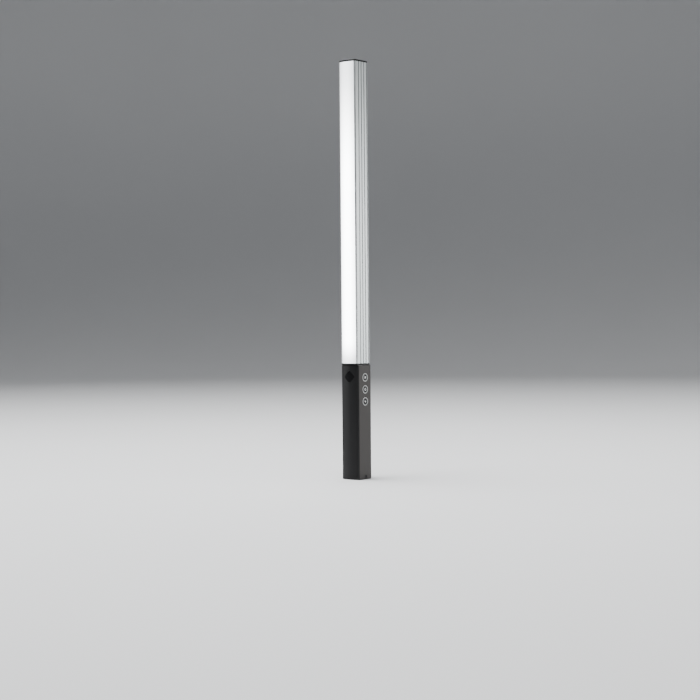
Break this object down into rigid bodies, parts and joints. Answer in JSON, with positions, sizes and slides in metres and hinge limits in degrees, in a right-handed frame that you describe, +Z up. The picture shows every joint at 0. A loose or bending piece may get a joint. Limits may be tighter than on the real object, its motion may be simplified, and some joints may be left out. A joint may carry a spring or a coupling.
{
  "type": "led light tube",
  "caption": "Hand-held stick light: a fluted aluminium head with a bowed opal diffuser on a black battery handle with side push buttons and a tripod socket.",
  "frame": {"origin": "centre of the tripod socket's mouth, in the plane of the handle's bottom end", "axes": "+Z up the tube from the handle to the cap, -Y the side the light leaves by, +X the side with the push buttons"},
  "size_m": [0.0267, 0.0285, 0.508],
  "materials": {
    "anodised_aluminium": "clear anodised extrusion, satin, drawn along its length",
    "black_anodised": "black anodised extrusion, satin",
    "opal_plastic": "opal polycarbonate, lit from behind",
    "black_plastic": "fine moulded texture",
    "cover_plastic": "smooth black, half gloss",
    "dark_window": "dark smoked polycarbonate, gloss",
    "light_trim": "light grey satin ring",
    "board_green": "glass-fibre circuit board with solder mask",
    "board_white": "aluminium-cored light board with white solder mask",
    "steel": "stamped or turned steel",
    "black_screw": "blackened steel screw",
    "brass": "turned brass",
    "nickel": "nickel strip",
    "cell_wrap": "plain shrink wrap over a steel can",
    "lead_red": "soft insulation",
    "lead_black": "soft insulation",
    "lead_pale": "soft insulation"
  },
  "bodies": {
    "housing": {"head_extrusion": "anodised_aluminium", "diffuser": "opal_plastic", "led_board": "board_white", "top_cap": "black_plastic", "top_screw_left": "black_screw", "top_screw_right": "black_screw", "joint_collar": "black_plastic", "collar_screw_left": "steel", "collar_screw_right": "steel", "handle_body": "black_anodised", "handle_front": "cover_plastic", "sensor_window": "dark_window", "receiver_board": "board_green", "button_ring_up": "light_trim", "button_ring_power": "light_trim", "button_ring_down": "light_trim", "control_board": "board_green", "charging_port": "steel", "battery_cradle": "black_plastic", "battery_cell": "cell_wrap", "battery_tab_positive": "nickel", "battery_tab_negative": "nickel", "bottom_plug": "black_plastic", "tripod_insert": "brass", "base_screw_left": "black_screw", "base_screw_right": "black_screw", "back_screw_left": "black_screw", "back_screw_right": "black_screw", "battery_lead_red": "lead_red", "battery_lead_black": "lead_black", "led_lead": "lead_pale", "receiver_lead": "lead_pale"},
    "up_key": {"button_up": "black_plastic"},
    "power_key": {"button_power": "black_plastic"},
    "down_key": {"button_down": "black_plastic"}
  },
  "joints": [
    {"name": "press_up", "type": "slide", "parent": "housing", "child": "up_key", "axis": [-1, 0, 0], "range_m": [0, 0.0005], "stiffness_N_per_m": 4000},
    {"name": "press_power", "type": "slide", "parent": "housing", "child": "power_key", "axis": [-1, 0, 0], "range_m": [0, 0.0005], "stiffness_N_per_m": 4000},
    {"name": "press_down", "type": "slide", "parent": "housing", "child": "down_key", "axis": [-1, 0, 0], "range_m": [0, 0.0005], "stiffness_N_per_m": 4000}
  ]
}
